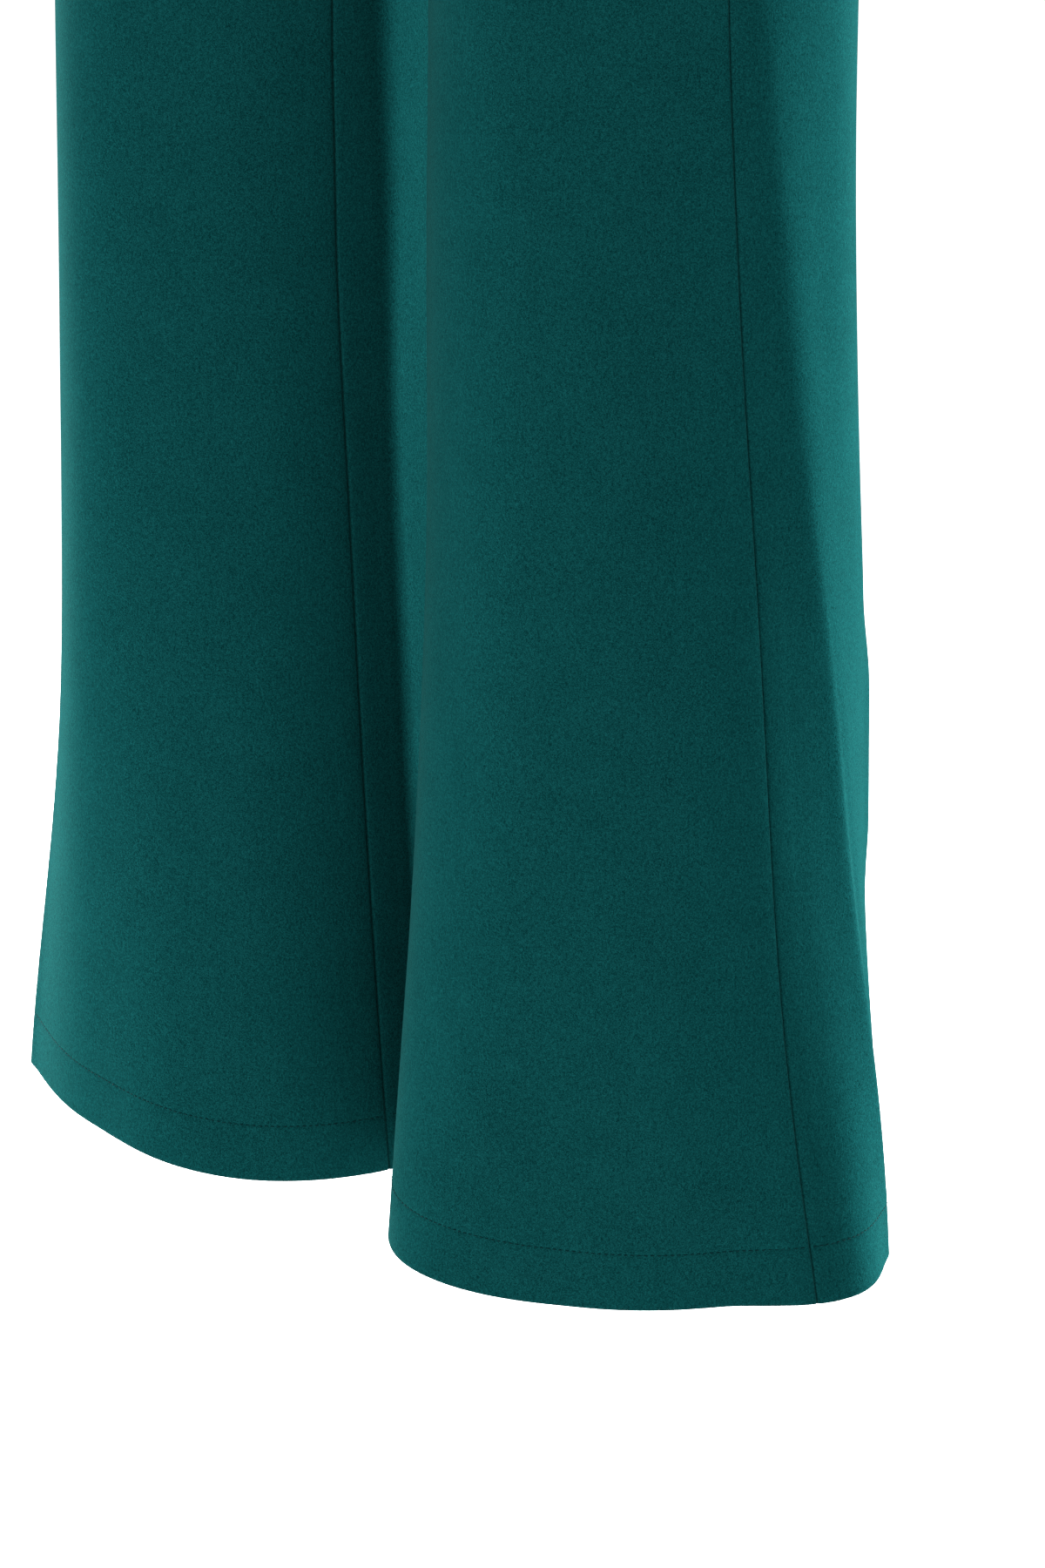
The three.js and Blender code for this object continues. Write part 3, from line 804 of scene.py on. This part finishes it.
ZIP_TOP = 13.0
ZIP_BOTTOM = -160.0
TAPE_INSET = 0.35
TAPE_DEPTH = 2.5
TAPE_WALL = 0.8
COIL_PITCH = 1.3
COIL_REACH = 1.7
COIL_WIDTH = 0.75
COIL_FROM_TOP = 3.0  # from the tape's top to the first tooth
COIL_FROM_BOTTOM = 4.0
COIL_OVERLAP = 0.2  # how far a tooth may reach over the centre
TOOTH_BEAD = (8, 6)  # sides and rings


def zip_coil(leg):
    """The row of teeth along the inner edge of one tape, on its wrong side."""
    shift = 0.0 if leg == "left" else COIL_PITCH / 2
    z = np.arange(ZIP_TOP - COIL_FROM_TOP - shift, ZIP_BOTTOM + COIL_FROM_BOTTOM, -COIL_PITCH)
    inset = np.maximum(parted(z) + TAPE_INSET, COIL_REACH / 2 - COIL_OVERLAP)
    share = 1.0 - inset / side_span(z)
    depth = np.full(len(z), TAPE_DEPTH + TAPE_WALL + COIL_WIDTH / 2)
    centre = placed(leg, z, share, depth)
    out = outward(leg, z, share)
    ahead = np.array((1.0, 0.0, 0.0)) - out * out[:, :1]
    ahead /= np.linalg.norm(ahead, axis=1, keepdims=True)
    skin = Skin(leg)
    add_beads(skin, bead(*TOOTH_BEAD), centre, ahead, out, COIL_REACH, COIL_WIDTH)
    return skin.make(f"zip_coil_{leg}")


# ---- Materials ----


def colour(red, green, blue):
    return (red, green, blue, 1.0)


def grey(value):
    return colour(value, value, value)


class Nodes:
    """A material's node tree, with short calls for the nodes that this scene uses."""

    def __init__(self, name):
        self.material = bpy.data.materials.new(name)
        self.material.use_nodes = True
        self.tree = self.material.node_tree
        self.shader = self.tree.nodes["Principled BSDF"]
        self.position = self.tree.nodes.new("ShaderNodeTexCoord").outputs["Object"]

    def link(self, output, socket):
        self.tree.links.new(output, socket)

    def set(self, **sockets):
        for name, value in sockets.items():
            self.shader.inputs[name.replace("_", " ")].default_value = value

    def scaled(self, scale):
        """The position, stretched or squeezed along each axis."""
        node = self.tree.nodes.new("ShaderNodeMapping")
        node.inputs["Scale"].default_value = scale
        self.link(self.position, node.inputs["Vector"])
        return node.outputs["Vector"]

    def noise(self, scale, detail=2.0, roughness=0.5, vector=None):
        node = self.tree.nodes.new("ShaderNodeTexNoise")
        node.inputs["Scale"].default_value = scale
        node.inputs["Detail"].default_value = detail
        node.inputs["Roughness"].default_value = roughness
        self.link(vector or self.position, node.inputs["Vector"])
        return node.outputs["Fac"]

    def ramp(self, factor, first, last, socket):
        """Feeds a socket with a colour between the first and the last, each a place and a colour."""
        node = self.tree.nodes.new("ShaderNodeValToRGB")
        for element, stop in zip(node.color_ramp.elements, (first, last)):
            element.position, element.color = stop
        self.link(factor, node.inputs["Fac"])
        self.link(node.outputs["Color"], self.shader.inputs[socket])

    def math(self, operation, a, b):
        node = self.tree.nodes.new("ShaderNodeMath")
        node.operation = operation
        for value, socket in zip((a, b), node.inputs):
            if isinstance(value, (int, float)):
                socket.default_value = value
            else:
                self.link(value, socket)
        return node.outputs["Value"]

    def bump(self, height, strength, distance, normal=None):
        node = self.tree.nodes.new("ShaderNodeBump")
        node.inputs["Strength"].default_value = strength
        node.inputs["Distance"].default_value = distance
        self.link(height, node.inputs["Height"])
        if normal:
            self.link(normal, node.inputs["Normal"])
        return node.outputs["Normal"]


def crepe_material():
    """Matte teal crepe: a fine pebbled grain, a faint mottle and a soft sheen at the edges."""
    m = Nodes("crepe")
    grain = m.noise(scale=1700.0, detail=2.0, roughness=0.6)
    pebble = m.noise(scale=850.0, detail=1.5, vector=m.scaled((1.0, 1.0, 0.75)))
    mottle = m.noise(scale=38.0, detail=3.0, roughness=0.55)
    weave = m.math("ADD", m.math("MULTIPLY", grain, 0.68), m.math("MULTIPLY", pebble, 0.25))
    tone = m.math("ADD", weave, m.math("MULTIPLY", mottle, 0.07))
    dark, light = colour(0.0010, 0.0215, 0.0225), colour(0.0046, 0.0705, 0.0715)
    m.ramp(tone, (0.36, dark), (0.64, light), "Base Color")
    m.ramp(grain, (0.3, grey(0.74)), (0.7, grey(0.9)), "Roughness")
    coarse = m.bump(pebble, strength=0.25, distance=0.0005)
    m.link(m.bump(grain, 0.6, 0.0004, coarse), m.shader.inputs["Normal"])
    m.set(Specular_IOR_Level=0.0)
    m.set(Sheen_Weight=0.08, Sheen_Roughness=0.3, Sheen_Tint=colour(0.3, 0.95, 0.86))
    return m.material


def thread_and_shade_material():
    """Sewing thread, darker than the crepe: partly its own colour and partly painted shade of the groove
    the stitches lie in.
    """
    m = Nodes("thread_and_painted_shade")
    twist = m.noise(scale=2600.0, detail=1.0)
    # painted shade: these thread colours are darker than the thread's own, standing in for the shadow in
    # the stitches' groove
    dark, light = colour(0.0006, 0.017, 0.019), colour(0.0010, 0.026, 0.028)
    m.ramp(twist, (0.3, dark), (0.7, light), "Base Color")
    m.link(m.bump(twist, strength=0.4, distance=0.0001), m.shader.inputs["Normal"])
    m.set(Roughness=0.75, Specular_IOR_Level=0.04)
    return m.material


def tape_material():
    """The zip's woven tape: fine ribs across it."""
    m = Nodes("zip_tape")
    wave = m.tree.nodes.new("ShaderNodeTexWave")
    wave.bands_direction = "Z"
    wave.inputs["Scale"].default_value = 420.0
    wave.inputs["Distortion"].default_value = 0.6
    m.link(m.position, wave.inputs["Vector"])
    fibre = m.noise(scale=1800.0)
    ribs = m.math("ADD", wave.outputs["Fac"], m.math("MULTIPLY", fibre, 0.4))
    dark, light = colour(0.002, 0.045, 0.043), colour(0.004, 0.07, 0.066)
    m.ramp(ribs, (0.2, dark), (0.9, light), "Base Color")
    m.link(m.bump(ribs, strength=0.5, distance=0.0002), m.shader.inputs["Normal"])
    m.set(Roughness=0.82, Specular_IOR_Level=0.2, Sheen_Weight=0.2)
    return m.material


def coil_material():
    """The zip's nylon teeth."""
    m = Nodes("zip_coil")
    grain = m.noise(scale=900.0)
    dark, light = colour(0.003, 0.055, 0.052), colour(0.004, 0.07, 0.066)
    m.ramp(grain, (0.3, dark), (0.7, light), "Base Color")
    m.set(Roughness=0.38, Specular_IOR_Level=0.45)
    return m.material


def enamel_material():
    """Satin enamel on the slider and its pull, worn a little brighter in fine scratches."""
    m = Nodes("zip_metal")
    cloud = m.noise(scale=260.0, detail=3.0)
    scratch = m.noise(scale=900.0, vector=m.scaled((1.0, 1.0, 0.08)))
    dark, light = colour(0.010, 0.070, 0.066), colour(0.018, 0.094, 0.089)
    m.ramp(cloud, (0.3, dark), (0.75, light), "Base Color")
    m.ramp(scratch, (0.3, grey(0.42)), (0.75, grey(0.56)), "Roughness")
    m.link(m.bump(scratch, strength=0.12, distance=0.00005), m.shader.inputs["Normal"])
    m.set(Metallic=0.2, Specular_IOR_Level=0.3)
    return m.material


def paint(obj, material):
    obj.data.materials.clear()
    obj.data.materials.append(material)


# ---- The pieces ----

# What each waistband piece is cut to, in metres: width and length.
BAND_CUT = {
    "waistband_front": (0.36, 0.04),
    "waistband_back_left": (0.18, 0.04),
    "waistband_back_right": (0.18, 0.04),
}


def make_pieces():
    crepe, thread_and_painted_shade, nylon = crepe_material(), thread_and_shade_material(), coil_material()
    for leg in ("left", "right"):
        for face in ("front", "back"):
            cloth = panel(leg, face)
            paint(cloth, crepe)
            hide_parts(f"{face}_{leg}")
            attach(cloth, "trousers")
        stitches = hem_stitches(leg)
        paint(stitches, thread_and_painted_shade)
        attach(stitches, "trousers")
        coil = zip_coil(leg)
        paint(coil, nylon)
        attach(coil, "trousers")
    for band, node in zip(make_waistbands(), BAND_CUT):
        paint(band, crepe)
        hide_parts(node)
        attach(band, "trousers")
    tape, enamel = tape_material(), enamel_material()
    for node, material in (
        ("zip_tape_left", tape),
        ("zip_tape_right", tape),
        ("zip_slider", enamel),
        ("zip_pull", enamel),
    ):
        paint(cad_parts[node], material)


# ---- Floor, light and backdrop ----

FLOOR_Z = -1.62  # in metres, as is all that follows
FLOOR_HALF = 60.0
WHITE = grey(1.0)
WALL_LIGHT = 0.56
FLOOR_LIGHT = 0.6


def make_stage():
    """A plain pale floor, some way under the hems, in front of a white backdrop."""
    sides = ((-1, -1), (1, -1), (1, 1), (-1, 1))
    corners = np.array([(x * FLOOR_HALF, y * FLOOR_HALF, FLOOR_Z) for x, y in sides])
    floor = new_object("floor", corners, np.array([[0, 1, 2, 3]]), smooth_faces=False)
    m = Nodes("floor")
    m.set(Base_Color=grey(0.93), Roughness=0.9)
    m.set(Emission_Color=WHITE, Emission_Strength=FLOOR_LIGHT)
    paint(floor, m.material)


def make_world():
    world = bpy.data.worlds.new("studio")
    world.use_nodes = True
    background = world.node_tree.nodes["Background"]
    background.inputs["Color"].default_value = WHITE
    background.inputs["Strength"].default_value = WALL_LIGHT
    bpy.context.scene.world = world
    bpy.context.scene.view_settings.view_transform = "Standard"


# Soft lamps: name, then azimuth, elevation and distance as seen from the lamp's target, the
# target's height on the middle line, and the lamp's width, height and power.
LAMPS = (
    ("right_behind", 160.0, -8.0, 2.4, -1.0, 0.8, 1.8, 365.0),
    ("left_behind", -112.0, -8.0, 2.4, -1.0, 0.8, 1.8, 205.0),
    ("left_low", -84.0, 0.0, 1.3, -1.15, 0.5, 0.6, 28.0),
    ("front", -20.0, -8.0, 2.4, -1.0, 0.8, 1.8, 26.0),
)


def make_lamps():
    for name, azimuth, elevation, distance, target_z, width, height, power in LAMPS:
        target = (0.0, 0.0, target_z)
        light = bpy.data.lights.new(name, "AREA")
        light.shape = "RECTANGLE"
        light.size, light.size_y = width, height
        light.energy = power
        lamp = bpy.data.objects.new(name, light)
        bpy.context.scene.collection.objects.link(lamp)
        aim(lamp, around(target, azimuth, elevation, distance), target)


make_pieces()
make_stage()
make_world()
make_lamps()
